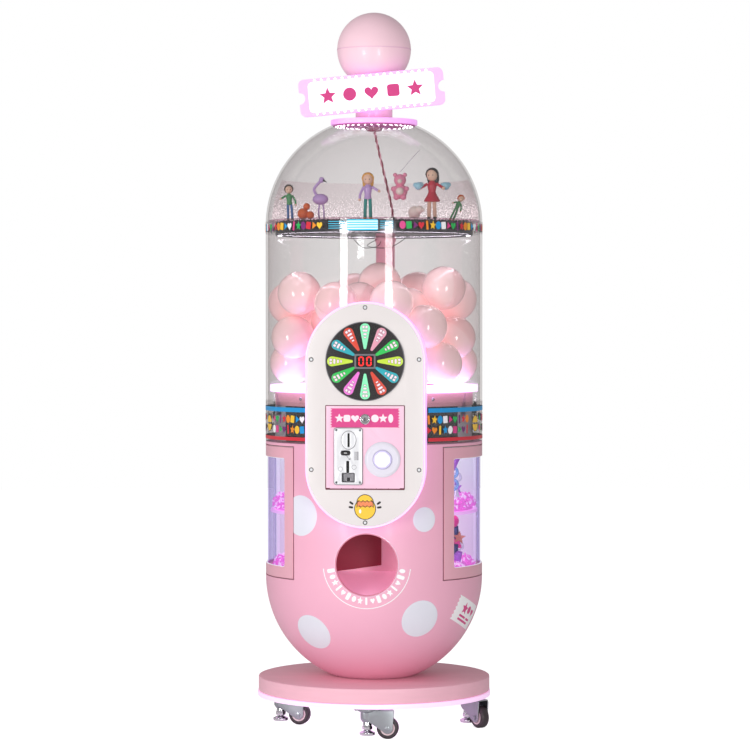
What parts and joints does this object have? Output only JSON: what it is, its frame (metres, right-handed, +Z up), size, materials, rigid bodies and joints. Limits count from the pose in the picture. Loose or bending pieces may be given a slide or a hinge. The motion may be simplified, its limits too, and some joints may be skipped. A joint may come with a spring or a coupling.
{
  "type": "capsule toy vendor",
  "caption": "Round capsule toy vendor on casters: clear capsule chamber under a lit dome, coin panel with push button, prize outlet and side display doors.",
  "frame": {"origin": "on the cabinet's vertical axis, at floor level", "axes": "+Z up, -Y out of the front with the coin panel, +X to the viewer's right when facing the front"},
  "size_m": [0.538, 0.584, 1.645],
  "materials": {
    "pink_body": "painted moulding, satin pink",
    "pink_board": "board with satin pink paint",
    "pale_pink": "pale pink, glossy",
    "lit_acrylic": "milky acrylic, lit from inside in lilac white",
    "clear": "clear acrylic",
    "white": "warm white, glossy",
    "mirror": "dark mirror film",
    "black": "black, glossy",
    "chrome": "polished",
    "bright_plate": "bright satin",
    "cast_metal": "satin",
    "tyre": "soft black tread",
    "capsule": "pale pink, glossy, slightly see-through",
    "cable": "dull pink sheath"
  },
  "bodies": {
    "cabinet": {"lower_shell": "pink_body", "inner_drum": "pink_body", "topper_neck": "pink_body", "topper_ball": "pink_body", "base_disc": "pink_board", "outlet_chute": "pale_pink", "drop_duct": "pale_pink", "wiring_post": "pale_pink", "base_light_plate": "lit_acrylic", "light_platform": "lit_acrylic", "cap_ring": "lit_acrylic", "topper_sign": "lit_acrylic", "panel_housing": "lit_acrylic", "display_shelf_right": "lit_acrylic", "display_shelf_left": "lit_acrylic", "clear_tube": "clear", "dome": "clear", "show_shelf": "clear", "panel_face": "white", "display_box_right": "white", "display_box_left": "white", "show_drum": "mirror", "prize_wheel": "black", "power_inlet": "black", "side_hinge_pin_right": "chrome", "side_hinge_pin_left": "chrome", "rear_hinge_pin": "chrome", "gear_motor": "cast_metal", "cash_box": "cast_metal", "dispenser_floor": "cast_metal", "caster_plate_front": "cast_metal", "caster_plate_right": "cast_metal", "caster_plate_back": "cast_metal", "caster_plate_left": "cast_metal", "capsule_heap": "capsule", "dome_cable": "cable"},
    "swivel_front": {"caster_fork_front": "cast_metal"},
    "wheel_front": {"caster_wheel_front": "tyre"},
    "foot_front": {"levelling_foot_front": "chrome"},
    "swivel_right": {"caster_fork_right": "cast_metal"},
    "wheel_right": {"caster_wheel_right": "tyre"},
    "foot_right": {"levelling_foot_right": "chrome"},
    "swivel_back": {"caster_fork_back": "cast_metal"},
    "wheel_back": {"caster_wheel_back": "tyre"},
    "foot_back": {"levelling_foot_back": "chrome"},
    "swivel_left": {"caster_fork_left": "cast_metal"},
    "wheel_left": {"caster_wheel_left": "tyre"},
    "foot_left": {"levelling_foot_left": "chrome"},
    "side_door_right": {"side_door_frame_right": "pink_body", "side_door_glass_right": "clear"},
    "side_door_left": {"side_door_frame_left": "pink_body", "side_door_glass_left": "clear"},
    "rear_door": {"rear_door": "pink_body"},
    "service_hatch": {"service_hatch": "pale_pink", "coin_acceptor": "bright_plate", "button_bezel": "white"},
    "service_lock": {"service_lock": "chrome"},
    "push_button": {"button_cap": "lit_acrylic"},
    "coin_return": {"coin_return_button": "black"},
    "pocket_wheel": {"pocket_wheel": "pale_pink"}
  },
  "joints": [
    {"name": "swivel_front", "type": "hinge", "parent": "cabinet", "child": "swivel_front", "pos_m": [0, -0.217, 0.06], "axis": [0, 0, 1], "continuous": true},
    {"name": "roll_front", "type": "hinge", "parent": "swivel_front", "child": "wheel_front", "pos_m": [0.046, -0.217, 0.025], "axis": [0, 1, 0], "continuous": true},
    {"name": "level_front", "type": "slide", "parent": "cabinet", "child": "foot_front", "axis": [0, 0, 1], "range_m": [-0.008, 0.004]},
    {"name": "swivel_right", "type": "hinge", "parent": "cabinet", "child": "swivel_right", "pos_m": [0.217, 0, 0.06], "axis": [0, 0, 1], "continuous": true},
    {"name": "roll_right", "type": "hinge", "parent": "swivel_right", "child": "wheel_right", "pos_m": [0.24595, -0.03575, 0.025], "axis": [0.7771, 0.6293, 0], "continuous": true},
    {"name": "level_right", "type": "slide", "parent": "cabinet", "child": "foot_right", "axis": [0, 0, 1], "range_m": [-0.008, 0.004]},
    {"name": "swivel_back", "type": "hinge", "parent": "cabinet", "child": "swivel_back", "pos_m": [0, 0.217, 0.06], "axis": [0, 0, 1], "continuous": true},
    {"name": "roll_back", "type": "hinge", "parent": "swivel_back", "child": "wheel_back", "pos_m": [0, 0.263, 0.025], "axis": [-1, 0, 0], "continuous": true},
    {"name": "level_back", "type": "slide", "parent": "cabinet", "child": "foot_back", "axis": [0, 0, 1], "range_m": [-0.008, 0.004]},
    {"name": "swivel_left", "type": "hinge", "parent": "cabinet", "child": "swivel_left", "pos_m": [-0.217, 0, 0.06], "axis": [0, 0, 1], "continuous": true},
    {"name": "roll_left", "type": "hinge", "parent": "swivel_left", "child": "wheel_left", "pos_m": [-0.17184, -0.00878, 0.025], "axis": [0.1908, 0.9816, 0], "continuous": true},
    {"name": "level_left", "type": "slide", "parent": "cabinet", "child": "foot_left", "axis": [0, 0, 1], "range_m": [-0.008, 0.004]},
    {"name": "side_door_right", "type": "hinge", "parent": "cabinet", "child": "side_door_right", "pos_m": [0.23536, 0.09942, 0.5], "axis": [0, 0, 1], "range_deg": [0, 95]},
    {"name": "side_door_left", "type": "hinge", "parent": "cabinet", "child": "side_door_left", "pos_m": [-0.23536, 0.09942, 0.5], "axis": [0, 0, -1], "range_deg": [0, 95]},
    {"name": "rear_door", "type": "hinge", "parent": "cabinet", "child": "rear_door", "pos_m": [0.15162, 0.20565, 0.5], "axis": [0, 0, -1], "range_deg": [0, 100]},
    {"name": "service_hatch", "type": "hinge", "parent": "cabinet", "child": "service_hatch", "pos_m": [0, -0.284, 0.5671], "axis": [1, 0, 0], "range_deg": [0, 80]},
    {"name": "service_lock", "type": "hinge", "parent": "service_hatch", "child": "service_lock", "pos_m": [0, -0.28, 0.718], "axis": [0, 1, 0], "range_deg": [0, 90]},
    {"name": "push_button", "type": "slide", "parent": "service_hatch", "child": "push_button", "axis": [0, 1, 0], "range_m": [0, 0.004], "stiffness_N_per_m": 400, "springref_m": -0.004},
    {"name": "coin_return", "type": "slide", "parent": "service_hatch", "child": "coin_return", "axis": [0, 1, 0], "range_m": [0, 0.003], "stiffness_N_per_m": 300, "springref_m": -0.003},
    {"name": "pocket_wheel", "type": "hinge", "parent": "cabinet", "child": "pocket_wheel", "pos_m": [0, 0, 0.7], "axis": [0, 0, 1], "continuous": true}
  ]
}
